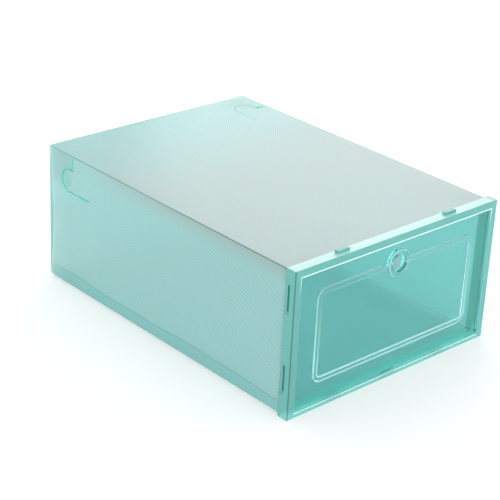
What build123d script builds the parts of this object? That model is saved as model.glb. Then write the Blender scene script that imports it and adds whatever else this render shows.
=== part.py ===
from build123d import *
from math import hypot
import os

# Foldable drop-front shoe box: one creased sheet sleeve, a moulded front frame
# that slides over the sleeve's front edge, and a clear door that drops forward.
# Millimetres. Z is up, the door faces -Y, X runs across the front, and the
# origin is under the middle of the box on the surface it stands on.

# ---------------------------------------------------------------- sizes
box_length = 330.0        # front plane of the frame to the rear creases
frame_width = 239.0       # across the moulded frame, tabs left out
frame_height = 133.5      # height of the moulded frame, tabs left out

sheet = 0.8               # thickness of the embossed sheet
frame_proud = 1.75        # how far the frame stands out round the sleeve
sheet_slip = 0.15         # room between the sheet and the frame's skirt

rail_side = 7.5           # face width of the frame's upright rails
rail_top = 7.5            # face width of the top rail
rail_bottom = 4.2         # face width of the sill
rail_depth = 8.5          # front to back of the solid rails
skirt_depth = 11.0        # how far the outer skirt reaches back
flange_depth = 16.0       # how far the inner flange reaches back
flange_wall = 1.5         # thickness of the inner flange

tab_across = 63.5         # stacking tabs and pockets, from the middle
tab_length = 13.0
tab_width = 4.0
tab_height = 2.6
tab_back = 6.0            # tab centre behind the front plane
side_tab_length = 23.0    # joining tabs on the right, slots on the left
side_tab_width = 2.0
side_tab_height = 2.5
side_tab_back = 6.8       # slot centre behind the front plane
side_tab_levels = (36.5, 108.0)
tab_fit = 0.3             # play of a tab in its pocket, each way
recess_depth = 0.4        # shallow lead-in recess round each side slot
recess_margin = 2.5       # how far that recess runs past the slot's ends
drain_length = 16.5       # slot through the middle of the sill
drain_width = 2.4
drain_back = 4.2          # its centre behind the front plane

door_thickness = 1.2
door_play = 0.4           # gap between the door and the frame's opening
door_recess = 1.6         # door face behind the frame's front plane
bead_height = 0.9         # raised bead round the door panel
bead_width = 5.0
bead_side_margin = 19.5   # bead's outer edge in from the door's sides
bead_top_margin = 16.1
bead_bottom_margin = 19.1
bead_corner = 9.0         # outer corner radius of the bead
ring_outer = 24.0         # finger ring
ring_hole = 16.0
ring_back = 2.2           # how far the ring stands in behind the door
ring_shoulder = 34.0      # length of the flat shoulders beside the ring
ring_shoulder_width = 9.0
pin_diameter = 2.2
pin_length = 2.6
pin_play = 0.1            # radial play of a pin in its hole
pin_end_play = 0.4
pin_behind_face = 0.3     # pin centre behind the door's face, so the door leans shut
pin_above_edge = 3.0      # pin centre above the door's lower edge
stop_reach = 1.5          # stop lip that the closed door rests on
stop_play = 0.2
stop_thickness = 1.2
stop_clear_below = 10.0   # how far above the sill the side stops begin

lap_width = 10.0          # glued lap inside the lower left crease
lap_end_gap = 3.0

crease_gap = 0.1          # gap a leaf leaves at its crease
leaf_gap = 1.0            # gap between neighbouring rear leaves
leaf_corner = 6.0         # rounding of the leaves' free corners
ear_length = 30.0         # ears tucked inside the panels
ear_drop = 33.0           # far edge of an ear from its crease
ear_inset = 2.5           # near edge of an ear from its crease
ear_gap = 0.4             # gap between an ear and its panel
ear_corner = 9.0
sweep_clear = 1.4         # room beyond the circle that an ear sweeps

lock_radius = 10.8        # lock tongue cut in each panel
lock_back = 31.0          # its centre, forward of the rear edge
lock_in = 24.7            # its centre, in from the crease
lock_slit = 28.5          # straight slit that frees the tongue's edge
lock_notch_back = 35.4    # wedge notch, forward of the rear edge
lock_notch_start = 1.6    # notch's point, in from the crease
lock_kerf = 1.4           # width of the cut line
lock_notch_width = 3.0

# ------------------------------------------------------- derived places
front = -box_length / 2
rear = box_length / 2
half_width = frame_width / 2
body_half = half_width - frame_proud
body_low = frame_proud
body_high = frame_height - frame_proud
body_width = 2 * body_half
body_height = body_high - body_low
sheet_front = front + rail_depth + sheet_slip

open_half = half_width - rail_side
open_low = rail_bottom
open_high = frame_height - rail_top

door_half = open_half - door_play
door_low = open_low + door_play
door_high = open_high - door_play
door_face = front + door_recess
door_back = door_face + door_thickness
pin_y = door_face + pin_behind_face
pin_z = door_low + pin_above_edge

ring_z = door_high - bead_top_margin - bead_width / 2
strip_depth = hypot(ear_length + sheet, ear_drop) + sweep_clear


def block(x0, x1, y0, y1, z0, z1):
    """A plain block between two corners."""
    return Pos((x0 + x1) / 2, (y0 + y1) / 2, (z0 + z1) / 2) * Box(x1 - x0, y1 - y0, z1 - z0)


def tube(half, low, high, wall, y0, y1):
    """A rectangular tube along Y: its outer half width, heights and wall."""
    outside = block(-half, half, y0, y1, low, high)
    inside = block(-half + wall, half - wall, y0, y1, low + wall, high - wall)
    return outside - inside


# ------------------------------------------------------------ front frame
def make_frame():
    rails = block(-half_width, half_width, front, front + rail_depth, 0, frame_height)
    rails -= block(-open_half, open_half, front, front + rail_depth, open_low, open_high)
    skirt = tube(half_width, 0, frame_height, frame_proud - sheet_slip, front, front + skirt_depth)
    inner = frame_proud + sheet + sheet_slip
    flange = tube(half_width - inner, inner, frame_height - inner, flange_wall, front, front + flange_depth)
    frame = rails + skirt + flange

    # stop lip along the top and both sides, behind the closed door
    stop_y = door_back + stop_play
    stop = block(-open_half, open_half, stop_y, stop_y + stop_thickness, open_low + stop_clear_below, open_high)
    stop -= block(
        -open_half + stop_reach, open_half - stop_reach, front, rear, 0, open_high - stop_reach
    )
    frame += stop

    # stacking tabs on top, matching blind pockets underneath
    tab_y = front + tab_back
    for x in (-tab_across, tab_across):
        tab = Pos(x, tab_y, frame_height + tab_height / 2 - 0.5) * Box(tab_length, tab_width, tab_height + 1)
        tab = fillet(tab.faces().sort_by(Axis.Z)[-1].edges(), 0.5)
        frame += tab
        pocket_depth = tab_height + tab_fit
        frame -= Pos(x, tab_y, pocket_depth / 2) * Box(
            tab_length + 2 * tab_fit, tab_width + 2 * tab_fit, pocket_depth
        )

    # joining tabs on the right wall, matching slots and recesses on the left
    slot_y = front + side_tab_back
    for z in side_tab_levels:
        tab = Pos(half_width + side_tab_height / 2 - 0.5, slot_y, z) * Box(
            side_tab_height + 1, side_tab_width, side_tab_length
        )
        frame += fillet(tab.faces().sort_by(Axis.X)[-1].edges(), 0.4)
        slot_depth = side_tab_height + tab_fit
        slot_half = side_tab_width / 2 + tab_fit
        frame -= Pos(-half_width + slot_depth / 2, slot_y, z) * Box(
            slot_depth, 2 * slot_half, side_tab_length + 2 * tab_fit
        )
        reach = side_tab_length / 2 + tab_fit + recess_margin
        frame -= block(
            -half_width, -half_width + recess_depth,
            slot_y - slot_half, front + skirt_depth, z - reach, z + reach
        )

    # slot through the sill, and the blind holes for the door's pins
    frame -= Pos(0, front + drain_back, rail_bottom / 2) * Box(drain_length, drain_width, rail_bottom)
    hole_depth = door_play + pin_length + pin_end_play
    for side in (-1, 1):
        hole_x = side * (door_half + hole_depth / 2)
        frame -= Pos(hole_x, pin_y, pin_z) * Rot(0, 90, 0) * Cylinder(pin_diameter / 2 + pin_play, hole_depth)
    return frame


# ------------------------------------------------------------------- door
def make_door():
    panel = block(-door_half, door_half, door_face, door_back, door_low, door_high)
    bead_half = door_half - bead_side_margin
    bead_low = door_low + bead_bottom_margin
    bead_high = door_high - bead_top_margin
    bead_z = (bead_low + bead_high) / 2
    bead_span = bead_high - bead_low
    outline = RectangleRounded(2 * bead_half, bead_span, bead_corner)
    outline -= RectangleRounded(
        2 * (bead_half - bead_width), bead_span - 2 * bead_width, bead_corner - bead_width
    )
    bead = extrude(outline, bead_height)
    bead = fillet(bead.faces().sort_by(Axis.Z)[-1].edges(), bead_height * 0.6)
    bead = Pos(0, door_face, bead_z) * Rot(90, 0, 0) * bead

    # finger ring with flat shoulders on the bead's upper run
    shoulder = Pos(0, door_face - bead_height / 2, ring_z) * Box(ring_shoulder, bead_height, ring_shoulder_width)
    shoulder = fillet(shoulder.edges().filter_by(Axis.Y), 3.0)
    ring_front = front
    ring_depth = door_back + ring_back - ring_front
    ring_y = ring_front + ring_depth / 2
    ring = Pos(0, ring_y, ring_z) * Rot(90, 0, 0) * Cylinder(ring_outer / 2, ring_depth)
    ring = fillet(ring.edges(), 0.5)
    bore = Pos(0, ring_y, ring_z) * Rot(90, 0, 0) * Cylinder(ring_hole / 2, ring_depth + 4)
    door = panel + bead + shoulder + ring - bore

    for side in (-1, 1):
        pin = Pos(side * (door_half + pin_length / 2 - 0.5), pin_y, pin_z)
        door += pin * Rot(0, 90, 0) * Cylinder(pin_diameter / 2, pin_length + 1)
    return door


# ----------------------------------------------------------- sheet sleeve
# Each corner of the rear opening is the start of one panel's lock and one
# rear leaf. A corner's own frame has u along the leaf's crease, h away from
# the crease across the opening, and v forward along the box.
corners = {
    "top": (-body_half, body_high, 0, body_width, body_height),
    "left": (-body_half, body_low, -90, body_height, body_width),
    "bottom": (body_half, body_low, 180, body_width, body_height),
    "right": (body_half, body_high, 90, body_height, body_width),
}


def at_corner(side, solid):
    """Place a solid made in a corner's own frame: u, -v and -h are X, Y and Z."""
    x, z, turn, _, _ = corners[side]
    return Pos(x, rear, z) * Rot(0, turn, 0) * solid


def lock_cut():
    """The cut line of one lock tongue, in the plane u = 0, ready to cut."""
    deep = 4 * sheet
    disc = Rot(0, 90, 0) * Cylinder(lock_radius + lock_kerf / 2, deep)
    core = Rot(0, 90, 0) * Cylinder(lock_radius - lock_kerf / 2, 2 * deep)
    half = Pos(0, lock_radius, 0) * Box(deep, 2 * lock_radius, 4 * lock_radius)
    curve = Pos(0, -lock_back, -lock_in) * ((disc - core) & half)
    slit = Pos(0, -lock_back - lock_slit / 2, -lock_in - lock_radius) * Box(deep, lock_slit, lock_kerf)
    step = lock_notch_back - lock_back
    link = Pos(0, -lock_back - step / 2, -lock_in + lock_radius) * Box(deep, step, lock_kerf)
    notch_end = lock_in - lock_radius + lock_kerf / 2
    notch = Polyline(
        (-lock_notch_back, -lock_notch_start),
        (-lock_notch_back - lock_notch_width / 2, -notch_end),
        (-lock_notch_back + lock_notch_width / 2, -notch_end),
        close=True,
    )
    wedge = extrude(Plane.YZ * make_face(notch), deep / 2, both=True)
    return curve + slit + link + wedge


def make_panels():
    """The four panels between the long creases, with their lock cuts."""
    side_low = body_low + sheet
    side_high = body_high - sheet
    plates = {
        "bottom_panel": block(-body_half, body_half, sheet_front, rear, body_low, side_low),
        "top_panel": block(-body_half, body_half, sheet_front, rear, side_high, body_high),
        "left_panel": block(-body_half, -body_half + sheet, sheet_front, rear, side_low, side_high),
        "right_panel": block(body_half - sheet, body_half, sheet_front, rear, side_low, side_high),
    }
    # the lock that holds a leaf's ear is cut in the panel beside the ear
    locked_by = {"left_panel": "top", "bottom_panel": "left", "right_panel": "bottom", "top_panel": "right"}
    for name, side in locked_by.items():
        plates[name] -= at_corner(side, lock_cut())
    return plates


def make_lap():
    """The glued lap that closes the sleeve, up the left panel from the floor."""
    left_inside = -body_half + sheet
    floor = body_low + sheet
    return block(
        left_inside, left_inside + sheet,
        front + flange_depth + lap_end_gap, rear - sheet - lap_end_gap, floor, floor + lap_width
    )


def make_leaf(side, reach_middle):
    """One rear leaf: a strip along its crease, and for two a middle half."""
    crease_length, across = corners[side][3:]
    near = sheet + ear_gap
    far = crease_length - strip_depth - leaf_gap
    top = sheet + crease_gap
    leaf = block(near, far, -sheet, 0, -strip_depth, -top)
    if reach_middle:
        middle = strip_depth + leaf_gap
        leaf += block(middle, far, -sheet, 0, -(across - leaf_gap) / 2, -top)
    upright = leaf.edges().filter_by(Axis.Y)
    free = upright.filter_by(lambda e: e.center().Z < -strip_depth / 2 and not at_inner_step(e))
    return at_corner(side, fillet(free, leaf_corner))


def at_inner_step(edge):
    """True on the one inward corner, where a leaf's middle half begins."""
    spot = edge.center()
    return abs(spot.X - strip_depth - leaf_gap) < 0.01 and abs(spot.Z + strip_depth) < 0.01


def make_ear(side):
    """The ear that a leaf tucks inside the neighbouring panel."""
    near = sheet + ear_gap
    ear = block(near, near + sheet, -sheet - ear_length, -sheet, -ear_drop, -ear_inset)
    tips = ear.edges().filter_by(Axis.X).sort_by(Axis.Y)[:2]
    return at_corner(side, fillet(tips, ear_corner))


# ---------------------------------------------------------------- writing
nodes = {"front_frame": make_frame(), "door": make_door(), "glue_lap": make_lap()}
nodes.update(make_panels())
for side in corners:
    nodes[f"rear_{side}_leaf"] = make_leaf(side, side in ("top", "bottom"))
    nodes[f"rear_{side}_ear"] = make_ear(side)

os.makedirs("parts", exist_ok=True)
for name, solid in nodes.items():
    export_step(solid, f"parts/{name}.step")
    print(f"{name}: {solid.volume:.0f} mm3")
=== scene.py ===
# %% [markdown]
# # A drop-front shoe box in mint plastic
# The real box is three mouldings at the bench: one creased, embossed sheet folded into a
# sleeve, a moulded frame pushed over its front edge, and a clear door that drops forward
# on two pins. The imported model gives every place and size, so the lesson starts by
# loading it, and each piece below is drawn round the numbers that it gives.

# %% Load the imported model
import bpy
import bmesh
import math
from mathutils import Matrix, Quaternion, Vector


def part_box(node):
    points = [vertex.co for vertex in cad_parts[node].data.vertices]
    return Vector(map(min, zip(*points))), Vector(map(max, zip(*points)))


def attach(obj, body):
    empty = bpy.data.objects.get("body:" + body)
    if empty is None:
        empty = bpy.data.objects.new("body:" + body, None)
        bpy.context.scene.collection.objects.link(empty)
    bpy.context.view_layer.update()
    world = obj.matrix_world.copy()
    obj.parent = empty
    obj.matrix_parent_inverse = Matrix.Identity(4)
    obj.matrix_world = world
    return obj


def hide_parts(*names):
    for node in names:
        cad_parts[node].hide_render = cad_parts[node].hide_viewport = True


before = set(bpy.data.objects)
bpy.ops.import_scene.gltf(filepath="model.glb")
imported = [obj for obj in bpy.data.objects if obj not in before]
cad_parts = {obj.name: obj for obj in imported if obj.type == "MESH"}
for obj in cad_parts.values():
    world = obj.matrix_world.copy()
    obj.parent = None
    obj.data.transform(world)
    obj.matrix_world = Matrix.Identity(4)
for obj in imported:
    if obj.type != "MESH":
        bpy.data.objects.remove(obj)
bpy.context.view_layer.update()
MM = 0.001
TINY = 1e-6

# %% [markdown]
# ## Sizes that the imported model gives
# The sleeve's outside comes from its four panels, and every leaf and ear has a box.
# Two curves are set here, because the sheet's finish shows them as well as the mesh.

# %% Read the sleeve's outside
top_low, top_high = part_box("top_panel")
floor_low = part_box("bottom_panel")[0]
SHEET = top_high.z - top_low.z
HALF = top_high.x
LOW, HIGH = floor_low.z, top_high.z
FRONT, REAR = top_low.y, top_high.y
MIDDLE = (LOW + HIGH) / 2
lap_low, lap_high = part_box("glue_lap")
print(f"sheet {SHEET / MM:.2f} mm, sleeve {2 * HALF / MM:.1f} x {(HIGH - LOW) / MM:.1f} mm")


# %% The lap's wandering edge and the line where the left panel curls
LAP_TOP, LAP_WANDER = lap_high.z + 2.6 * MM, 2.4 * MM
LAP_WAVES = ((31.0, 0.0, 1.0), (83.0, 1.0, 0.5))
CURL_START, CURL_WIDTH = 1.2 * MM, 5.0 * MM


def lap_edge(y):
    """The height of the lap's upper edge, cut by hand and never quite straight."""
    wave = sum(size * math.sin(y * turns + start) for turns, start, size in LAP_WAVES)
    return LAP_TOP - LAP_WANDER * (0.6 + 0.4 * wave)


def hump(value, low, high):
    """0 at both ends of a span and 1 at its middle, as a half sine."""
    share = min(max((value - low) / (high - low), 0.0), 1.0)
    return math.sin(math.pi * share)


def curl_line(z):
    """Where the left panel starts to curl: furthest forward at mid-height."""
    return REAR - CURL_START - CURL_WIDTH * hump(z, LOW, HIGH)


print(f"lap edge near {lap_edge(0) / MM:.1f} mm, curl line near {curl_line(MIDDLE) / MM:.1f} mm")

# %% [markdown]
# ## Floor and light
# Milky plastic shows the light that comes through it as much as the light that falls on
# it. A bright room gives the glow inside the box: its walls are brighter than its
# ceiling, and the floor glows a little, so that the box's sides aren't left in shade.
# Two large lamps add the sheen on the top and on the front rails, and the sheet's finish adds a painted
# sheen on the top.


# %% A helper that turns a finished bmesh into an object
def new_object(name, bm, *materials):
    """A mesh object at the origin, with its place in its mesh."""
    mesh = bpy.data.meshes.new(name)
    bm.to_mesh(mesh)
    bm.free()
    made = bpy.data.objects.new(name, mesh)
    bpy.context.scene.collection.objects.link(made)
    for material in materials:
        mesh.materials.append(material)
    return made


# %% Helpers that lay down nodes and links
def feed(tree, socket, value):
    """Link a socket to the one given, or set it to the number or colour given."""
    if isinstance(value, bpy.types.NodeSocket):
        tree.links.new(value, socket)
    else:
        socket.default_value = value


def lay(tree, kind, settings=(), **inputs):
    """A node with its settings made and its named inputs set or linked."""
    node = tree.nodes.new(kind)
    for key, value in dict(settings).items():
        setattr(node, key, value)
    for key, value in inputs.items():
        place = int(key[1:]) if key[1:].isdigit() else key.replace("_", " ")
        feed(tree, node.inputs[place], value)
    return node


def calc(tree, operation, a, b=0.0, c=0.0):
    """The result of one Math node on two or three numbers."""
    node = lay(tree, "ShaderNodeMath", {"operation": operation}, i0=a, i1=b)
    if operation == "MULTIPLY_ADD":
        feed(tree, node.inputs[2], c)
    return node.outputs[0]


def mix_colour(tree, share, a, b, blend="MIX"):
    """One colour turned into another by a share from 0 to 1."""
    settings = {"data_type": "RGBA", "blend_type": blend}
    return lay(tree, "ShaderNodeMix", settings, i0=share, i6=a, i7=b).outputs[2]


# %% Floor and world
FLOOR_REACH = 6.0
FLOOR_GLOW = 0.31
OVERHEAD, LEVEL = 0.70, 1.40
floor_paint = bpy.data.materials.new("pale_floor")
floor_paint.use_nodes = True
floor_shader = floor_paint.node_tree.nodes["Principled BSDF"]
floor_shader.inputs["Base Color"].default_value = (0.88, 0.885, 0.885, 1)
floor_shader.inputs["Roughness"].default_value = 0.7
floor_shader.inputs["Emission Color"].default_value = (1, 1, 1, 1)
floor_shader.inputs["Emission Strength"].default_value = FLOOR_GLOW
bm = bmesh.new()
bmesh.ops.create_grid(bm, x_segments=1, y_segments=1, size=FLOOR_REACH)
new_object("floor", bm, floor_paint)

world = bpy.data.worlds.new("studio")
bpy.context.scene.world = world
world.use_nodes = True
sky = lay(world.node_tree, "ShaderNodeTexCoord")
rise = lay(world.node_tree, "ShaderNodeSeparateXYZ", Vector=sky.outputs["Generated"])
dome = lay(
    world.node_tree, "ShaderNodeMapRange", Value=rise.outputs["Z"],
    i1=0.0, i2=0.9, i3=LEVEL, i4=OVERHEAD,
)
room = world.node_tree.nodes["Background"]
room.inputs["Color"].default_value = (1, 1, 1, 1)
world.node_tree.links.new(dome.outputs[0], room.inputs["Strength"])
bpy.context.scene.view_settings.view_transform = "Standard"


# %% Lamps
def soft_lamp(name, place, aim, size, watts):
    """A square soft box at a place, turned to face its aim."""
    data = bpy.data.lights.new(name, "AREA")
    data.shape = "SQUARE"
    data.size = size
    data.energy = watts
    lamp = bpy.data.objects.new(name, data)
    bpy.context.scene.collection.objects.link(lamp)
    lamp.location = place
    lamp.rotation_mode = "QUATERNION"
    lamp.rotation_quaternion = (Vector(aim) - Vector(place)).to_track_quat("-Z", "Y")
    return lamp


soft_lamp("key", (0.1, -1.4, 1.5), (0, 0, 0.05), 1.2, 1.0)
soft_lamp("back", (1.27, 1.17, 0.95), (0, 0, 0.1), 0.75, 2.4)
print("lamps and world are set")

# %% [markdown]
# ## Camera
# A long lens from the front left corner, a little above the box, so that the top, the
# long left side and the door all show. It is rolled by a few degrees.

# %% Camera
CAMERA_PLACE = Vector((-0.8664, -0.9160, 0.6504))
AZIMUTH, ELEVATION, ROLL = (math.radians(a) for a in (-42.89, 25.27, 2.83))
level = math.cos(ELEVATION)
look = Vector((-math.sin(AZIMUTH) * level, math.cos(AZIMUTH) * level, -math.sin(ELEVATION)))
camera_data = bpy.data.cameras.new("camera")
camera_data.lens = 110.57
camera_data.sensor_width = 36
camera = bpy.data.objects.new("camera", camera_data)
bpy.context.scene.collection.objects.link(camera)
camera.location = CAMERA_PLACE
camera.rotation_mode = "QUATERNION"
camera.rotation_quaternion = look.to_track_quat("-Z", "Y") @ Quaternion((0, 0, 1), ROLL)
bpy.context.scene.camera = camera
print("camera looks along", tuple(round(c, 3) for c in look))

# %% [markdown]
# ## Effects that several finishes share
# Each effect is a node group with named sockets, built once. *Ribs* is the fine
# diagonal emboss that the sheet takes from its roller. *Scuffs* is the faint clouding
# and the short rubs that soft plastic picks up. *Painted edge light* paints a highlight
# on a moulded lip or a bent line, where light leaves the plastic, and painted shade in a
# crease or a hollow. *Panel marks* finds the lap and the curl on the left panel, from the
# same two curves as the mesh; the curl gets painted shade and painted light. *Bead light*
# paints the two thin highlights that run round the door's raised bead.


# %% A helper that starts a group
def new_group(name, takes, gives):
    """An empty shader group with its sockets, and its two end nodes."""
    tree = bpy.data.node_groups.new(name, "ShaderNodeTree")
    for label, kind, value in takes:
        socket = tree.interface.new_socket(label, in_out="INPUT", socket_type=kind)
        if value is not None:
            socket.default_value = value
    for label, kind in gives:
        tree.interface.new_socket(label, in_out="OUTPUT", socket_type=kind)
    return tree, tree.nodes.new("NodeGroupInput"), tree.nodes.new("NodeGroupOutput")


FLOAT, COLOUR, VECTOR = "NodeSocketFloat", "NodeSocketColor", "NodeSocketVector"

# %% Ribs: a diagonal emboss with a fainter cross rib
RIB_PITCH = 2.83 * MM
ribs, takes, gives = new_group(
    "ribs",
    [("Vector", VECTOR, None), ("Pitch", FLOAT, RIB_PITCH), ("Cross", FLOAT, 0.3)],
    [("Height", FLOAT)],
)
split = lay(ribs, "ShaderNodeSeparateXYZ", Vector=takes.outputs["Vector"])
turns = calc(ribs, "DIVIDE", 2 * math.pi, takes.outputs["Pitch"])
along = calc(ribs, "MULTIPLY", calc(ribs, "ADD", split.outputs[0], split.outputs[1]), turns)
across = calc(ribs, "MULTIPLY", calc(ribs, "SUBTRACT", split.outputs[0], split.outputs[1]), turns)
main_rib = calc(ribs, "MULTIPLY_ADD", calc(ribs, "SINE", along), 0.5, 0.5)
cross_rib = calc(ribs, "MULTIPLY_ADD", calc(ribs, "SINE", across), 0.5, 0.5)
step = calc(ribs, "SUBTRACT", cross_rib, main_rib)
height = calc(ribs, "MULTIPLY_ADD", step, takes.outputs["Cross"], main_rib)
ribs.links.new(height, gives.inputs["Height"])
print("ribs group:", len(ribs.nodes), "nodes")

# %% Scuffs: soft clouds and short rubs
scuffs, takes, gives = new_group(
    "scuffs",
    [("Vector", VECTOR, None), ("Cloud Scale", FLOAT, 14.0), ("Rub Scale", FLOAT, 160.0)],
    [("Clouds", FLOAT), ("Rubs", FLOAT)],
)
clouds = lay(
    scuffs, "ShaderNodeTexNoise", Vector=takes.outputs["Vector"],
    Scale=takes.outputs["Cloud Scale"], Detail=4.0, Roughness=0.55,
)
stretched = lay(
    scuffs, "ShaderNodeMapping", Vector=takes.outputs["Vector"],
    Rotation=(0.3, 0.5, 0.7), Scale=(1.0, 0.12, 1.0),
)
rubs = lay(
    scuffs, "ShaderNodeTexNoise", Vector=stretched.outputs[0],
    Scale=takes.outputs["Rub Scale"], Detail=3.0, Roughness=0.6,
)
rub_mask = lay(
    scuffs, "ShaderNodeMapRange", Value=rubs.outputs[0],
    i1=0.60, i2=0.72, i3=0.0, i4=1.0,
)
scuffs.links.new(clouds.outputs[0], gives.inputs["Clouds"])
scuffs.links.new(rub_mask.outputs[0], gives.inputs["Rubs"])
print("scuffs group:", len(scuffs.nodes), "nodes")

# %% Painted edge light: a painted highlight where the piece is marked as edge, painted shade where it is marked as creased
painted_edge_light, takes, gives = new_group(
    "painted edge light",
    [("Color", COLOUR, None), ("Edge Color", COLOUR, None), ("Crease Color", COLOUR, None),
     ("Edge", FLOAT, 0.0), ("Crease", FLOAT, 0.0)],
    [("Color", COLOUR)],
)
shaded = mix_colour(
    painted_edge_light, takes.outputs["Crease"], takes.outputs["Color"], takes.outputs["Crease Color"]
)
highlighted = mix_colour(painted_edge_light, takes.outputs["Edge"], shaded, takes.outputs["Edge Color"])
painted_edge_light.links.new(highlighted, gives.inputs["Color"])
print("painted edge light group:", len(painted_edge_light.nodes), "nodes")

# %% Panel marks: the lap seen through the left panel, and the curl of its rear end, with painted shade on its strip and painted light ahead of it
OUTER_SKIN = 0.65 * MM
RIM_WIDE, LINE_WIDE, LIGHT_REACH = 0.5 * MM, 0.7 * MM, 32 * MM
marks, takes, gives = new_group(
    "panel marks", [("Vector", VECTOR, None)],
    [("Lap", FLOAT), ("Rim", FLOAT), ("Strip", FLOAT), ("Line", FLOAT), ("Light", FLOAT)],
)
split = lay(marks, "ShaderNodeSeparateXYZ", Vector=takes.outputs["Vector"])
on_left = calc(marks, "LESS_THAN", split.outputs[0], -HALF + OUTER_SKIN)
wave = 0.6
for turns, start, size in LAP_WAVES:
    sine = calc(marks, "SINE", calc(marks, "MULTIPLY_ADD", split.outputs[1], turns, start))
    wave = calc(marks, "MULTIPLY_ADD", sine, 0.4 * size, wave)
edge_z = calc(marks, "MULTIPLY_ADD", wave, -LAP_WANDER, LAP_TOP)
above = calc(marks, "SUBTRACT", split.outputs[2], edge_z)
from_low = calc(marks, "SUBTRACT", split.outputs[2], LOW)
bulge = calc(marks, "SINE", calc(marks, "MULTIPLY", from_low, math.pi / (HIGH - LOW)))
line_y = calc(marks, "MULTIPLY_ADD", bulge, -CURL_WIDTH, REAR - CURL_START)
behind = calc(marks, "SUBTRACT", split.outputs[1], line_y)
near = calc(marks, "MULTIPLY_ADD", behind, 1 / LIGHT_REACH, 1.0)
near = calc(marks, "MULTIPLY", calc(marks, "MAXIMUM", near, 0.0), calc(marks, "LESS_THAN", behind, 0.0))
# The strip behind the curl line gets painted shade, the line a painted highlight, and the panel ahead of
# it painted light that fades.
for label, mask in (
    ("Lap", calc(marks, "LESS_THAN", above, 0.0)),
    ("Rim", calc(marks, "LESS_THAN", calc(marks, "ABSOLUTE", above), RIM_WIDE)),
    ("Strip", calc(marks, "GREATER_THAN", behind, 0.0)),
    ("Line", calc(marks, "LESS_THAN", calc(marks, "ABSOLUTE", behind), LINE_WIDE)),
    ("Light", calc(marks, "MULTIPLY", near, near)),
):
    marks.links.new(calc(marks, "MULTIPLY", mask, on_left), gives.inputs[label])
print("panel marks group:", len(marks.nodes), "nodes")

# %% Bead light: two thin painted highlights along the door's raised bead
door_low, door_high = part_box("door")
BEAD_TOP, BEAD_FOOT = door_high.z - 16.1 * MM, door_low.z + 19.1 * MM
BEAD_ACROSS = 92.1 * MM
BEAD_CORNER, BEAD_WIDE = 9.0 * MM, 5.0 * MM
LINE_INSET, LINE_HALF = 0.5 * MM, 0.45 * MM
bead_light, takes, gives = new_group(
    "bead light", [("Vector", VECTOR, None)], [("Lines", FLOAT), ("Fall", FLOAT)]
)
split = lay(bead_light, "ShaderNodeSeparateXYZ", Vector=takes.outputs["Vector"])
from_centre = calc(bead_light, "ABSOLUTE", split.outputs[0])
past_x = calc(bead_light, "SUBTRACT", from_centre, BEAD_ACROSS - BEAD_CORNER)
from_mid = calc(bead_light, "SUBTRACT", split.outputs[2], (BEAD_TOP + BEAD_FOOT) / 2)
half_tall = (BEAD_TOP - BEAD_FOOT) / 2 - BEAD_CORNER
past_z = calc(bead_light, "SUBTRACT", calc(bead_light, "ABSOLUTE", from_mid), half_tall)
out_x = calc(bead_light, "MAXIMUM", past_x, 0.0)
out_z = calc(bead_light, "MAXIMUM", past_z, 0.0)
out_z_squared = calc(bead_light, "MULTIPLY", out_z, out_z)
squares = calc(bead_light, "MULTIPLY_ADD", out_x, out_x, out_z_squared)
corner_way = calc(bead_light, "POWER", squares, 0.5)
inside_way = calc(bead_light, "MINIMUM", calc(bead_light, "MAXIMUM", past_x, past_z), 0.0)
way = calc(bead_light, "ADD", corner_way, inside_way)
way = calc(bead_light, "ADD", way, BEAD_WIDE / 2 - BEAD_CORNER)
way = calc(bead_light, "ABSOLUTE", way)
from_line = calc(bead_light, "SUBTRACT", way, BEAD_WIDE / 2 - LINE_INSET)
on_line = calc(bead_light, "LESS_THAN", calc(bead_light, "ABSOLUTE", from_line), LINE_HALF)
bead_light.links.new(on_line, gives.inputs["Lines"])
fall = lay(
    bead_light, "ShaderNodeMapRange", Value=from_mid,
    i1=-half_tall, i2=half_tall, i3=1.0, i4=0.0,
)
bead_light.links.new(fall.outputs[0], gives.inputs["Fall"])
print("bead light group:", len(bead_light.nodes), "nodes")

# %% [markdown]
# ## The finishes
# The sheet is polypropylene: milky, so nothing shows through it as a shape, with a soft
# gloss. A rough transmission with a low index gives that glow. The cut edge of such a
# sheet gathers light from inside the sheet and looks far greener than its face, and a
# painted glow stands in for that light. The frame is the same mint in a thicker, smoother
# moulding. The door is clear.


# %% A helper that starts a finish
def new_finish(name, transmission, index, roughness, coat=0.0, coat_roughness=0.1):
    """A material with its plain numbers set straight on the shader's own sockets."""
    made = bpy.data.materials.new(name)
    made.use_nodes = True
    shader = made.node_tree.nodes["Principled BSDF"]
    shader.inputs["Transmission Weight"].default_value = transmission
    shader.inputs["IOR"].default_value = index
    shader.inputs["Roughness"].default_value = roughness
    shader.inputs["Coat Weight"].default_value = coat
    shader.inputs["Coat Roughness"].default_value = coat_roughness
    return made, made.node_tree, shader


def use_group(tree, group, **inputs):
    """A group placed in a material, with its own values."""
    return lay(tree, "ShaderNodeGroup", {"node_tree": group}, **inputs)


def rgb(red, green, blue):
    """A linear colour with full alpha."""
    return (red, green, blue, 1.0)


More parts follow.
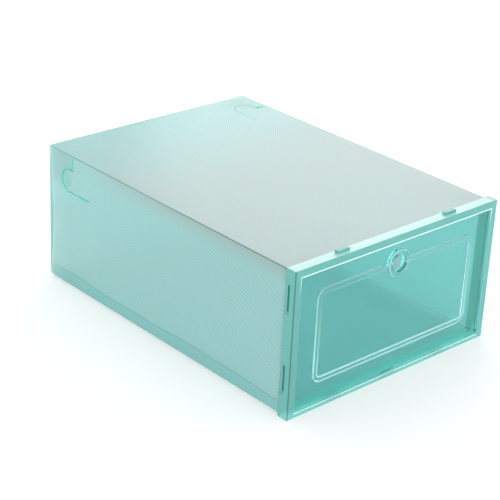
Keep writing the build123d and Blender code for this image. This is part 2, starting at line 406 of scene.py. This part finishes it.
# %% Embossed sheet
RIB_DEPTH = 0.12 * MM
mint_sheet, tree, shader = new_finish("mint_sheet", 0.66, 1.12, 0.55, coat=1.0, coat_roughness=0.25)
places = lay(tree, "ShaderNodeTexCoord")
rib = use_group(tree, ribs, Vector=places.outputs["UV"], Pitch=RIB_PITCH, Cross=0.42)
mark = use_group(tree, marks, Vector=places.outputs["Object"])
worn = use_group(tree, scuffs, Vector=places.outputs["Object"], Cloud_Scale=9.0, Rub_Scale=120.0)
inner_side = lay(tree, "ShaderNodeAttribute", {"attribute_name": "inner"}).outputs["Fac"]
pressed = calc(tree, "MULTIPLY_ADD", calc(tree, "MAXIMUM", mark.outputs["Lap"], inner_side), -0.7, 1.0)
relief = calc(tree, "SUBTRACT", rib.outputs["Height"], 0.5)
relief = calc(tree, "MULTIPLY_ADD", relief, pressed, 0.5)
base = mix_colour(tree, relief, rgb(0.25, 0.65, 0.63), rgb(0.81, 1.0, 1.0))
cloud_share = calc(tree, "MULTIPLY", worn.outputs["Clouds"], 0.2)
cloudy = mix_colour(tree, cloud_share, base, rgb(0.62, 0.86, 0.83))
# Painted sheen: the top turns paler and greyer from the rear to half way along.
painted_sheen = lay(tree, "ShaderNodeAttribute", {"attribute_name": "painted_sheen"}).outputs["Fac"]
haze_and_painted_sheen = mix_colour(tree, calc(tree, "MULTIPLY", painted_sheen, 0.75), cloudy, rgb(0.61, 0.66, 0.65))
lapped = mix_colour(tree, mark.outputs["Lap"], haze_and_painted_sheen, rgb(0.77, 0.98, 0.97), "MULTIPLY")
rimmed = mix_colour(tree, calc(tree, "MULTIPLY", mark.outputs["Rim"], 0.5), lapped, rgb(0.12, 0.42, 0.36))
# Painted shade on the curled strip, and painted light ahead of the curl line.
painted_curl_shade = mix_colour(tree, mark.outputs["Strip"], rimmed, rgb(0.66, 0.92, 0.90), "MULTIPLY")
painted_curl_light = mix_colour(tree, calc(tree, "MULTIPLY", mark.outputs["Light"], 0.5), painted_curl_shade, rgb(0.72, 1.0, 1.0))
# Painted shade on the creases, and a painted highlight on the curl line.
painted_shade_mask = lay(tree, "ShaderNodeAttribute", {"attribute_name": "crease"}).outputs["Fac"]
lit = use_group(
    tree, painted_edge_light, Color=painted_curl_light, Edge_Color=rgb(0.95, 1.0, 1.0),
    Crease_Color=rgb(0.07, 0.24, 0.22), Edge=mark.outputs["Line"], Crease=painted_shade_mask,
)
tree.links.new(lit.outputs["Color"], shader.inputs["Base Color"])
rough = calc(tree, "MULTIPLY_ADD", worn.outputs["Rubs"], 0.08, 0.52)
tree.links.new(rough, shader.inputs["Roughness"])
bump = lay(tree, "ShaderNodeBump", Strength=0.35, Distance=RIB_DEPTH, Height=rib.outputs["Height"])
tree.links.new(bump.outputs[0], shader.inputs["Normal"])

# %% Cut edge of the sheet
cut_edge, tree, shader = new_finish("cut_edge", 0.2, 1.45, 0.35)
places = lay(tree, "ShaderNodeTexCoord")
worn = use_group(tree, scuffs, Vector=places.outputs["Object"], Cloud_Scale=60.0, Rub_Scale=400.0)
base = mix_colour(tree, worn.outputs["Clouds"], rgb(0.02, 0.42, 0.30), rgb(0.06, 0.60, 0.45))
tree.links.new(base, shader.inputs["Base Color"])
# The emission is a painted glow for the light that the cut edge gathers.
tree.links.new(base, shader.inputs["Emission Color"])
shader.inputs["Emission Strength"].default_value = 0.5

# %% Moulded frame
GRAIN_DEPTH = 0.08 * MM
moulded, tree, shader = new_finish("mint_moulding", 0.5, 1.2, 0.35, coat=1.0, coat_roughness=0.15)
places = lay(tree, "ShaderNodeTexCoord")
worn = use_group(tree, scuffs, Vector=places.outputs["Object"], Cloud_Scale=22.0, Rub_Scale=220.0)
base = mix_colour(tree, worn.outputs["Clouds"], rgb(0.15, 0.60, 0.55), rgb(0.21, 0.66, 0.62))
rubbed = mix_colour(tree, calc(tree, "MULTIPLY", worn.outputs["Rubs"], 0.12), base, rgb(0.4, 0.8, 0.75))
# Painted highlights on the lips and the top wall, and painted shade at the left corner and in the slots,
# are numbers painted on the mesh.
painted_highlight_mask = lay(tree, "ShaderNodeAttribute", {"attribute_name": "edge"}).outputs["Fac"]
painted_shade_mask = lay(tree, "ShaderNodeAttribute", {"attribute_name": "crease"}).outputs["Fac"]
lit = use_group(
    tree, painted_edge_light, Color=rubbed, Edge_Color=rgb(0.90, 1.0, 0.98),
    Crease_Color=rgb(0.02, 0.16, 0.13), Edge=painted_highlight_mask, Crease=painted_shade_mask,
)
tree.links.new(lit.outputs["Color"], shader.inputs["Base Color"])
# The emission is painted light: a faint glow all over, a green glow inside the frame, and the lips'
# highlights.
painted_glow = lay(tree, "ShaderNodeAttribute", {"attribute_name": "painted_glow"}).outputs["Fac"]
inner = mix_colour(tree, painted_glow, rgb(0.003, 0.015, 0.013), rgb(0.07, 0.32, 0.27))
painted_light_emission = mix_colour(tree, painted_highlight_mask, inner, rgb(0.42, 0.50, 0.49))
tree.links.new(painted_light_emission, shader.inputs["Emission Color"])
shader.inputs["Emission Strength"].default_value = 1.0
rough = calc(tree, "MULTIPLY_ADD", worn.outputs["Clouds"], 0.14, 0.26)
tree.links.new(rough, shader.inputs["Roughness"])
skin = lay(tree, "ShaderNodeTexNoise", Vector=places.outputs["Object"], Scale=900.0, Detail=2.0)
bump = lay(tree, "ShaderNodeBump", Strength=0.12, Distance=GRAIN_DEPTH, Height=skin.outputs[0])
tree.links.new(bump.outputs[0], shader.inputs["Normal"])

# %% Clear door
clear_door, tree, shader = new_finish("clear_door", 1.0, 1.40, 0.05)
places = lay(tree, "ShaderNodeTexCoord")
worn = use_group(tree, scuffs, Vector=places.outputs["Object"], Cloud_Scale=12.0, Rub_Scale=300.0)
base = mix_colour(tree, worn.outputs["Clouds"], rgb(0.42, 0.96, 0.93), rgb(0.48, 0.98, 0.96))
tree.links.new(base, shader.inputs["Base Color"])
haze_and_painted_sheen = calc(tree, "MULTIPLY_ADD", worn.outputs["Rubs"], 0.06, 0.04)
tree.links.new(haze_and_painted_sheen, shader.inputs["Roughness"])
# The emission paints highlights on the bead's two lines, pale at its foot and dim at its top.
bead = use_group(tree, bead_light, Vector=places.outputs["Object"])
shine = mix_colour(tree, bead.outputs["Fall"], rgb(0.10, 0.05, 0.06), rgb(0.36, 0.36, 0.36))
lines = mix_colour(tree, bead.outputs["Lines"], rgb(0.0, 0.0, 0.0), shine)
tree.links.new(lines, shader.inputs["Emission Color"])
shader.inputs["Emission Strength"].default_value = 1.0

# %% The door's rounded edges, which gather light: painted nearly white, as a highlight, with a faint painted glow
pale_edge, tree, shader = new_finish("pale_edge", 0.45, 1.40, 0.3)
places = lay(tree, "ShaderNodeTexCoord")
worn = use_group(tree, scuffs, Vector=places.outputs["Object"], Cloud_Scale=40.0, Rub_Scale=300.0)
base = mix_colour(tree, worn.outputs["Clouds"], rgb(0.78, 0.96, 0.94), rgb(0.95, 1.0, 1.0))
tree.links.new(base, shader.inputs["Base Color"])
# The emission is a painted glow.
tree.links.new(base, shader.inputs["Emission Color"])
shader.inputs["Emission Strength"].default_value = 0.15
haze_and_painted_sheen = calc(tree, "MULTIPLY_ADD", worn.outputs["Clouds"], 0.15, 0.22)
tree.links.new(haze_and_painted_sheen, shader.inputs["Roughness"])
print("finishes:", [m.name for m in (mint_sheet, cut_edge, moulded, clear_door, pale_edge)])

# %% [markdown]
# ## Helpers for pieces made of sheet
# A folded sheet is easiest as a surface with no thickness. The Solidify modifier then
# gives it the sheet's own thickness, and its rim takes the cut-edge finish. The emboss
# follows the sheet, so each face gets flat coordinates in metres from its own plane.


# %% Helpers for thickness, flat coordinates, painted numbers and cuts
def settle(piece):
    """Replace a piece's mesh with what its modifiers make of it."""
    graph = bpy.context.evaluated_depsgraph_get()
    done = bpy.data.meshes.new_from_object(piece.evaluated_get(graph))
    piece.modifiers.clear()
    piece.data = done
    done.name = piece.name
    return piece


def thicken(piece, thickness):
    """Give a surface its thickness, inwards from its outer side."""
    solid = piece.modifiers.new("thickness", "SOLIDIFY")
    solid.thickness = thickness
    solid.offset = -1
    solid.use_even_offset = True
    solid.use_rim = True
    solid.material_offset_rim = 1


def unroll(mesh):
    """Flat coordinates in metres for each face, from the two axes it lies along."""
    layer = mesh.uv_layers.get("flat") or mesh.uv_layers.new(name="flat")
    for face in mesh.polygons:
        drop = max(range(3), key=lambda axis: abs(face.normal[axis]))
        first, second = {0: (2, 1), 1: (0, 2), 2: (0, 1)}[drop]
        for corner in face.loop_indices:
            spot = mesh.vertices[mesh.loops[corner].vertex_index].co
            layer.data[corner].uv = (spot[first], spot[second])


def paint(mesh, name, value_at):
    """A number on every vertex, from a function of its place."""
    layer = mesh.attributes.get(name) or mesh.attributes.new(name, "FLOAT", "POINT")
    for vertex in mesh.vertices:
        layer.data[vertex.index].value = value_at(vertex.co)


def cut_loops(bm, axis, places):
    """Cut a bmesh right across at places along one axis."""
    normal = Vector([float(i == axis) for i in range(3)])
    for place in places:
        geometry = bm.verts[:] + bm.edges[:] + bm.faces[:]
        bmesh.ops.bisect_plane(bm, geom=geometry, dist=TINY, plane_co=normal * place, plane_no=normal)


# %% [markdown]
# ## The sleeve
# The real sleeve is one flat sheet with four long creases, glued along a lap. A square
# with its corners rounded to the crease's radius is drawn out along the box. Flat
# plastic this thin never stays flat: the panels bow a little between the creases, and
# the left panel's rear end curls in, which shows as a strip along its rear edge; the
# strip's shade is painted in the sheet's finish.

# %% Draw the sleeve's surface
CREASE_RADIUS = 0.9 * MM
CURL_IN = 0.45 * MM
CREASE_FADE = 1.5 * MM
CURL_LOOPS = [REAR - 5.6 * MM, REAR - 5.0 * MM, REAR - 4.4 * MM]
BOW = 0.7 * MM

bm = bmesh.new()
bmesh.ops.create_grid(bm, x_segments=1, y_segments=1, size=0.5)
bmesh.ops.scale(bm, vec=(2 * HALF, HIGH - LOW, 1), verts=bm.verts)
bmesh.ops.bevel(
    bm, geom=bm.verts[:], offset=CREASE_RADIUS, segments=3, profile=0.5,
    affect="VERTICES", material=-1,
)
bmesh.ops.delete(bm, geom=bm.faces[:], context="FACES_ONLY")
bmesh.ops.rotate(bm, verts=bm.verts, matrix=Matrix.Rotation(math.pi / 2, 3, "X"))
bmesh.ops.translate(bm, verts=bm.verts, vec=(0, FRONT, MIDDLE))
drawn = bmesh.ops.extrude_edge_only(bm, edges=bm.edges[:])["geom"]
far_ring = [item for item in drawn if isinstance(item, bmesh.types.BMVert)]
bmesh.ops.translate(bm, verts=far_ring, vec=(0, REAR - FRONT, 0))
cut_loops(bm, 1, [FRONT + (REAR - FRONT) * i / 12 for i in range(1, 12)] + CURL_LOOPS)
cut_loops(bm, 0, [HALF * i / 4 for i in range(-3, 4)] + [HALF - CREASE_FADE, CREASE_FADE - HALF])
cut_loops(bm, 2, [LOW + (HIGH - LOW) * i / 8 for i in range(1, 8)])
cut_loops(bm, 2, [LOW + CREASE_FADE, HIGH - CREASE_FADE])
bmesh.ops.recalc_face_normals(bm, faces=bm.faces)
print("sleeve surface:", len(bm.faces), "faces")

# %% Bow the panels and curl the left panel's rear end
for vertex in bm.verts:
    spot = vertex.co
    lengthwise = hump(spot.y, FRONT, REAR)
    if abs(abs(spot.x) - HALF) < TINY:
        inwards = BOW * 0.6 * lengthwise * hump(spot.z, LOW, HIGH)
        curl = CURL_IN * hump(spot.z, LOW, HIGH) if spot.x < 0 else 0.0
        near_line = [place for place in CURL_LOOPS if abs(spot.y - place) < TINY]
        if curl and near_line:
            vertex.co.y = curl_line(spot.z) + near_line[0] - CURL_LOOPS[1]
        elif curl and spot.y > REAR - TINY:
            inwards += curl
        vertex.co.x -= math.copysign(inwards, spot.x)
    elif abs(spot.z - HIGH) < TINY:
        vertex.co.z -= BOW * lengthwise * hump(spot.x, -HALF, HALF)

sleeve = new_object("sleeve", bm, mint_sheet, cut_edge)
thicken(sleeve, SHEET)

# %% [markdown]
# ## The locks
# Each panel has a tongue cut beside its rear crease, which catches an ear of the
# closure: an arc, a straight slit that frees it, and a wedge notch that lets it bend.
# Solids of the cut line's shape are taken away from the sheet, and the walls that they
# leave keep the cutters' green.

# %% Where each corner of the closure is
CORNERS = {
    "top": (-HALF, HIGH, 0), "left": (-HALF, LOW, -90),
    "bottom": (HALF, LOW, 180), "right": (HALF, HIGH, 90),
}


def at_corner(side):
    """The turn and shift that put a shape drawn at a corner in its place."""
    x, z, turn = CORNERS[side]
    return Matrix.Translation((x, REAR, z)) @ Matrix.Rotation(math.radians(turn), 4, "Y")


# %% Cutters for the four locks
LOCK_RADIUS, LOCK_BACK, LOCK_IN = 10.8 * MM, 31.0 * MM, 24.7 * MM
LOCK_SLIT = 28.5 * MM
KERFS = {"top": 1.4 * MM, "left": 1.4 * MM, "bottom": 1.4 * MM, "right": 0.35 * MM}
FLARE = 0.32
INNER_END = 1.0 * MM
NOTCH_BACK, NOTCH_START, NOTCH_WIDE = 35.4 * MM, 1.6 * MM, 3.0 * MM
DEEP = 4 * SHEET
OVERLAP, SLICE = 0.1 * MM, 0.01 * MM


def block(bm, centre, size):
    """A box in a bmesh, by its centre and its size."""
    place = Matrix.Translation(centre) @ Matrix.Diagonal((*size, 1.0))
    return bmesh.ops.create_cube(bm, size=1.0, matrix=place)["verts"]


def arc_part(bm, kerf):
    """The arc: a slice of the cut line spun half way round the tongue's middle."""
    verts = block(bm, (0, -LOCK_BACK, -LOCK_IN + LOCK_RADIUS), (DEEP, SLICE, kerf))
    near = [f for f in bm.faces if f.normal.y > 0.9]
    keep = [v for f in near for v in f.verts]
    bmesh.ops.delete(bm, geom=[v for v in verts if v not in keep], context="VERTS")
    bmesh.ops.spin(
        bm, geom=bm.verts[:] + bm.edges[:] + bm.faces[:], cent=(0, -LOCK_BACK, -LOCK_IN),
        axis=(1, 0, 0), dvec=(0, 0, 0), angle=-math.pi, steps=24,
    )


def slit_part(bm, kerf):
    """The straight slit that frees the tongue's edge."""
    middle = -LOCK_BACK - LOCK_SLIT / 2
    block(bm, (0, middle, -LOCK_IN - LOCK_RADIUS), (DEEP, LOCK_SLIT + 2 * OVERLAP, kerf))


def link_part(bm, kerf):
    """The short run from the arc to the notch."""
    step = NOTCH_BACK - LOCK_BACK
    size = (DEEP, step + 2 * OVERLAP, kerf)
    block(bm, (0, -LOCK_BACK - step / 2, -LOCK_IN + LOCK_RADIUS), size)


def notch_part(bm, kerf):
    """The wedge: a block whose upper end is pinched to a point."""
    foot = LOCK_IN - LOCK_RADIUS + kerf / 2 - OVERLAP
    high = foot - NOTCH_START
    verts = block(bm, (0, -NOTCH_BACK, -NOTCH_START - high / 2), (DEEP, NOTCH_WIDE, high))
    upper = [v for v in verts if v.co.z > -NOTCH_START - high / 2]
    bmesh.ops.scale(bm, vec=(1, 0.1, 1), verts=upper, space=Matrix.Translation((0, NOTCH_BACK, 0)))


def flare(bm, kerf):
    """Open a cutter towards the sheet's outside, as a knife's cut in plastic opens."""
    bm.normal_update()
    for vertex in bm.verts:
        outwards = Vector((0, vertex.normal.y, vertex.normal.z)).normalized()
        depth = INNER_END if vertex.co.x > 0 else vertex.co.x
        vertex.co.x = depth
        vertex.co += outwards * (FLARE * kerf * (1 - depth / SHEET))


# %% Cut the four locks out of the sleeve
bm = bmesh.new()
for side in CORNERS:
    for part in (arc_part, slit_part, link_part, notch_part):
        one = bmesh.new()
        part(one, KERFS[side])
        bmesh.ops.recalc_face_normals(one, faces=one.faces)
        flare(one, KERFS[side])
        one.transform(at_corner(side))
        one_mesh = bpy.data.meshes.new("one")
        one.to_mesh(one_mesh)
        one.free()
        bm.from_mesh(one_mesh)
        bpy.data.meshes.remove(one_mesh)
cutter = new_object("lock_cutter", bm, cut_edge)
cut = sleeve.modifiers.new("locks", "BOOLEAN")
cut.operation = "DIFFERENCE"
cut.solver = "EXACT"
cut.use_self = True
cut.material_mode = "TRANSFER"
cut.object = cutter
settle(sleeve)
bpy.data.objects.remove(cutter)
print("sleeve with locks:", len(sleeve.data.polygons), "faces")

# %% Paint and place the sleeve
CREASE_BAND = 0.9 * MM
# How far along and how deep the painted sheen on the top reaches.
SHEEN_REACH, SHEEN_DEEP = 0.55, 2.5 * MM
FLOOR_INSIDE, SIDE_INSIDE = (0.5 * MM, 0.9 * MM), (0.5 * MM, 1.7 * MM)


def painted_shade_at(spot):
    """Painted shade on the rounded long creases, least at the rear, and 0 on the panels."""
    side = abs(spot.x) > HALF - CREASE_BAND
    end = spot.z > HIGH - CREASE_BAND or spot.z < LOW + CREASE_BAND
    return float(side and end) * (0.5 + 0.5 * (REAR - spot.y) / (REAR - FRONT))


def painted_sheen_at(spot):
    """Painted sheen on the top: 0 at the rear to 1 half way along, paler and greyer towards the front."""
    share = min(max((REAR - spot.y) / (SHEEN_REACH * (REAR - FRONT)), 0.0), 1.0)
    return share * share * (3 - 2 * share) * float(spot.z > HIGH - SHEEN_DEEP)


def inner_at(spot):
    """1 on the inner side of the floor and of the right panel, where the ribs are fainter."""
    on_floor = FLOOR_INSIDE[0] < spot.z - LOW < FLOOR_INSIDE[1]
    on_right = SIDE_INSIDE[0] < HALF - spot.x < SIDE_INSIDE[1]
    return float(on_floor or on_right)


unroll(sleeve.data)
paint(sleeve.data, "painted_sheen", painted_sheen_at)
paint(sleeve.data, "inner", inner_at)
paint(sleeve.data, "crease", painted_shade_at)
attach(sleeve, "box")
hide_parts("bottom_panel", "left_panel", "right_panel", "top_panel")

# %% [markdown]
# ## The glued lap
# The sheet's last edge is turned up and glued inside the left panel. Its hand-cut upper
# edge wanders a little, and two layers of sheet look greener than one.

# %% Draw the lap
LAP_CLEAR = 0.06 * MM
bm = bmesh.new()
bmesh.ops.create_grid(bm, x_segments=1, y_segments=1, size=0.5)
bmesh.ops.scale(bm, vec=(lap_high.y - lap_low.y, lap_high.z - lap_low.z, 1), verts=bm.verts)
bmesh.ops.rotate(bm, verts=bm.verts, matrix=Matrix.Rotation(math.pi / 2, 3, "X"))
bmesh.ops.rotate(bm, verts=bm.verts, matrix=Matrix.Rotation(-math.pi / 2, 3, "Z"))
lap_x = -HALF + SHEET + LAP_CLEAR
bmesh.ops.translate(
    bm, verts=bm.verts, vec=(lap_x, (lap_low.y + lap_high.y) / 2, (lap_low.z + lap_high.z) / 2)
)
cut_loops(bm, 1, [lap_low.y + (lap_high.y - lap_low.y) * i / 40 for i in range(1, 40)])
for vertex in bm.verts:
    if vertex.co.z > lap_high.z - TINY:
        vertex.co.z = lap_edge(vertex.co.y)
    bow = BOW * 0.6 * hump(vertex.co.y, FRONT, REAR) * hump(vertex.co.z, LOW, HIGH)
    vertex.co.x += bow
for face in bm.faces:
    if face.normal.x > 0:
        face.normal_flip()
glue_lap = new_object("lap", bm, mint_sheet, cut_edge)
thicken(glue_lap, SHEET - 2 * LAP_CLEAR)
settle(glue_lap)
unroll(glue_lap.data)
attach(glue_lap, "box")
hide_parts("glue_lap")
print("lap:", len(glue_lap.data.polygons), "faces")

# %% [markdown]
# ## The rear closure
# Four leaves fold in like a pinwheel, and each ends in an ear that bends forward and
# slips inside the next panel. Leaf and ear are one piece of sheet, so they are drawn as
# one: the leaf's outline from a few corners, rounded, and the ear spun round the bend
# and drawn out. A leaf leans in a little towards its free edge, as springy sheet does.

# %% Draw one leaf with its ear
EAR_GAP = 0.4 * MM
LEAF_GAP = 1.0 * MM
CREASE_GAP = 0.1 * MM
LEAF_CORNER = 6.0 * MM
EAR_CORNER = 9.0 * MM
EAR_LONG, EAR_NEAR, EAR_FAR = 30.0 * MM, 2.5 * MM, 33.0 * MM
BEND = 1.0 * MM
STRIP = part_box("rear_left_leaf")[1].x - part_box("rear_left_leaf")[0].x + SHEET + CREASE_GAP
NEAR = SHEET + EAR_GAP
LEAN_START = 2 * MM
LEAN = {"top": 0.5 * MM, "left": 0.9 * MM, "bottom": 0.3 * MM, "right": 0.7 * MM}


def leaf_outline(crease_length, across, has_middle):
    """The leaf's corners as (u, h), and which of them are rounded."""
    start = SHEET + CREASE_GAP
    far = crease_length - STRIP - LEAF_GAP
    if not has_middle:
        return [(NEAR + BEND, start), (far, start), (far, STRIP), (NEAR + BEND, STRIP)], {2, 3}
    reach = (across - LEAF_GAP) / 2
    middle = STRIP + LEAF_GAP
    corners = [(NEAR + BEND, start), (far, start), (far, reach), (middle, reach)]
    return corners + [(middle, STRIP), (NEAR + BEND, STRIP)], {2, 3, 5}


def draw_leaf(side):
    """A leaf and its ear as one surface, in the corner's own frame."""
    upright = side in ("left", "right")
    crease_length = HIGH - LOW if upright else 2 * HALF
    across = 2 * HALF if upright else HIGH - LOW
    outline, rounded = leaf_outline(crease_length, across, not upright)
    bm = bmesh.new()
    verts = [bm.verts.new((u, 0, -h)) for u, h in outline]
    bm.faces.new(verts)
    soft = [verts[i] for i in rounded]
    bmesh.ops.bevel(
        bm, geom=soft, offset=LEAF_CORNER, segments=8, profile=0.5,
        affect="VERTICES", material=-1,
    )
    deep = max(h for _, h in outline)
    cut_loops(bm, 2, [-EAR_NEAR, -EAR_FAR] + [-deep * i / 6 for i in range(1, 6)])
    root = [
        e for e in bm.edges
        if all(abs(v.co.x - NEAR - BEND) < TINY for v in e.verts)
        and all(-EAR_FAR - TINY < v.co.z < -EAR_NEAR + TINY for v in e.verts)
    ]
    bent = bmesh.ops.spin(
        bm, geom=root + list({v for e in root for v in e.verts}), cent=(NEAR + BEND, -BEND, 0),
        axis=(0, 0, 1), dvec=(0, 0, 0), angle=math.pi / 2, steps=4,
    )["geom_last"]
    last = [item for item in bent if isinstance(item, bmesh.types.BMEdge)]
    out = bmesh.ops.extrude_edge_only(bm, edges=last)["geom"]
    tips = [item for item in out if isinstance(item, bmesh.types.BMVert)]
    bmesh.ops.translate(bm, verts=tips, vec=(0, -(EAR_LONG + SHEET - BEND), 0))
    ends = sorted(tips, key=lambda v: v.co.z)
    bmesh.ops.bevel(
        bm, geom=[ends[0], ends[-1]], offset=EAR_CORNER, segments=8, profile=0.5,
        affect="VERTICES", material=-1,
    )
    bmesh.ops.remove_doubles(bm, verts=bm.verts, dist=TINY)
    bmesh.ops.recalc_face_normals(bm, faces=bm.faces)
    widest = max(bm.faces, key=lambda f: f.calc_area() * (abs(f.normal.y) > 0.9))
    if widest.normal.y < 0:
        bmesh.ops.reverse_faces(bm, faces=bm.faces)
    for vertex in bm.verts:
        vertex.co.y -= LEAN[side] * (max(-vertex.co.z - LEAN_START, 0) / deep) ** 1.5
    bm.transform(at_corner(side))
    return bm


# %% Make the four leaves
for side in CORNERS:
    leaf = new_object(f"closure_{side}", draw_leaf(side), mint_sheet, cut_edge)
    thicken(leaf, SHEET)
    settle(leaf)
    unroll(leaf.data)
    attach(leaf, f"{side}_leaf")
    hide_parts(f"rear_{side}_leaf", f"rear_{side}_ear")
    low, high = (Vector(c) / MM for c in (leaf.bound_box[0], leaf.bound_box[6]))
    print(leaf.name, [round(c, 2) for c in low], [round(c, 2) for c in high])

# %% [markdown]
# ## The frame and the door
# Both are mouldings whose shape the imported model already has, down to the tabs, the
# slots, the raised bead and the finger ring. What a moulding also has is edges that are
# never sharp. A copy of each mesh is merged, its flat faces are joined up, and its long
# edges are bevelled, so that they catch the light as a thin line.


# %% Copy a moulding and round its edges
LONG_EDGE = 60 * MM
SHARP = math.radians(50)


def rounded_copy(name, node, offset, materials, finish_faces):
    """A merged copy of a CAD node with its long edges bevelled and its faces painted."""
    bm = bmesh.new()
    bm.from_mesh(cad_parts[node].data)
    bmesh.ops.remove_doubles(bm, verts=bm.verts, dist=TINY)
    bmesh.ops.dissolve_limit(bm, angle_limit=math.radians(1.0), verts=bm.verts, edges=bm.edges)
    sharp = [
        e for e in bm.edges
        if len(e.link_faces) == 2 and e.calc_face_angle(0) > SHARP
        and e.calc_length() >= LONG_EDGE
    ]
    rounded = bmesh.ops.bevel(
        bm, geom=sharp, offset=offset, segments=2, profile=0.5,
        affect="EDGES", clamp_overlap=True, material=-1,
    )["faces"]
    bmesh.ops.recalc_face_normals(bm, faces=bm.faces)
    finish_faces(bm, set(rounded))
    print(name, len(bm.faces), "faces,", len(sharp), "edges rounded")
    made = new_object(name, bm, *materials)
    made.data.shade_smooth()
    made.data.set_sharp_from_angle(angle=SHARP)
    level = made.modifiers.new("flat faces stay flat", "WEIGHTED_NORMAL")
    level.keep_sharp = True
    level.weight = 100
    return settle(made)


# %% The frame: painted highlights on the doorway's lips, painted shade and a painted glow in the deep green slots
frame_low, frame_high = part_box("front_frame")
RAIL, SILL, TOP_WALL = 7.5 * MM, 4.2 * MM, 2.6 * MM
TOP_RAIL = frame_high.z - TOP_WALL - RAIL
DOORWAY = frame_low.x + RAIL
LIP, SILL_LIP, BEVEL_REACH = 1.25 * MM, 0.65 * MM, 0.6 * MM
CORNER_LINE, FRAME_ROUND = 1.0 * MM, 0.5 * MM
SLOT_LEVELS, SLOT_HALF = (36.5 * MM, 108.0 * MM), 12.0 * MM
SLOT_DEEP, SLOT_BOTTOM = 0.5 * MM, 3 * MM
SLOT_FRONT, SLOT_REAR = 5 * MM, 8.2 * MM
DRAIN_HALF, DRAIN_BACK, DRAIN_REACH = 9 * MM, 4.2 * MM, 1.4 * MM
SKIN, DOOR_SEAT, SPARE = 1.0 * MM, 4 * MM, 0.1 * MM


def near_slot(spot):
    """True beside one of the two joining slots in the left wall."""
    return any(abs(spot.z - level) < SLOT_HALF for level in SLOT_LEVELS)


def in_slot(spot):
    """True at the walls of a joining slot."""
    across = frame_low.x + SLOT_DEEP < spot.x < frame_low.x + SLOT_BOTTOM
    return across and near_slot(spot) and SLOT_FRONT < spot.y - frame_low.y < SLOT_REAR


def in_drain(spot):
    """True at the walls of the slot through the sill."""
    level = SPARE < spot.z < SILL - SPARE
    return level and abs(spot.x) < DRAIN_HALF and abs(spot.y - frame_low.y - DRAIN_BACK) < DRAIN_REACH


def finish_frame(bm, _rounded):
    """Paint highlights on the doorway's lips and the top wall, painted shade on the left corner and in
    the slots, and a painted glow inside.
    """
    pale = bm.faces.layers.float.new("edge")
    deep = bm.faces.layers.float.new("crease")
    painted_glow = bm.faces.layers.float.new("painted_glow")
    cut_loops(bm, 2, [TOP_RAIL + LIP, SILL - SILL_LIP])
    cut_loops(bm, 0, [frame_low.x + CORNER_LINE, DOORWAY - LIP, LIP - DOORWAY])
    for face in bm.faces:
        spot = face.calc_center_median_weighted()
        at_front = spot.y < frame_low.y + SKIN
        across = abs(spot.x) < FRAME_ROUND - DOORWAY
        on_top_lip = across and TOP_RAIL - BEVEL_REACH < spot.z < TOP_RAIL + LIP
        on_sill_lip = across and SILL - SILL_LIP < spot.z < SILL + BEVEL_REACH
        on_left_lip = DOORWAY - LIP < spot.x < DOORWAY + BEVEL_REACH
        # Painted highlights on the doorway's lips.
        if at_front and (on_top_lip or on_sill_lip):
            face[pale] = 1.0 if on_top_lip else 0.75
        elif at_front and on_left_lip and SILL < spot.z < TOP_RAIL:
            face[pale] = 0.3
        # Painted shade on the left corner, and painted shade with a painted glow in the slots.
        elif at_front and spot.x < frame_low.x + CORNER_LINE:
            face[deep] = 0.8
        elif in_drain(spot) or in_slot(spot):
            face[deep] = 1.0
            face[painted_glow] = 0.4
        # A painted glow on the sill and the right wall inside.
        elif spot.y > frame_low.y + DOOR_SEAT and across and face.normal.z > 0.9 and spot.z < 2 * SILL:
            face[painted_glow] = 0.45
        elif spot.y > frame_low.y + SKIN and face.normal.x < -0.9 and spot.x > 0:
            face[painted_glow] = 0.3
        # A painted highlight on the top wall.
        elif face.normal.z > 0.9 and abs(spot.z - TOP_RAIL - RAIL) < SKIN:
            face[pale] = 0.4
    print("pale faces:", sum(face[pale] > 0.9 for face in bm.faces))


# %% Make the frame
frame_piece = rounded_copy("moulded_frame", "front_frame", FRAME_ROUND, [moulded], finish_frame)
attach(frame_piece, "box")
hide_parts("front_frame")

# %% The door: clear, with its rounded edges in the paler finish, a painted highlight
RING_REACH, DOOR_ROUND = 13 * MM, 0.35 * MM


def finish_door(bm, rounded):
    """Give the bevels and the finger ring's fillet the pale edge finish, a painted highlight."""
    for face in bm.faces:
        spot = face.calc_center_median()
        on_ring = abs(spot.x) < RING_REACH and spot.y < frame_low.y + BEVEL_REACH
        tilted = 0.2 < abs(face.normal.y) < 0.97
        face.material_index = int(face in rounded or (tilted and on_ring))


# %% Make the door
door_piece = rounded_copy("clear_drop_door", "door", DOOR_ROUND, [clear_door, pale_edge], finish_door)
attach(door_piece, "door")
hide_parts("door")
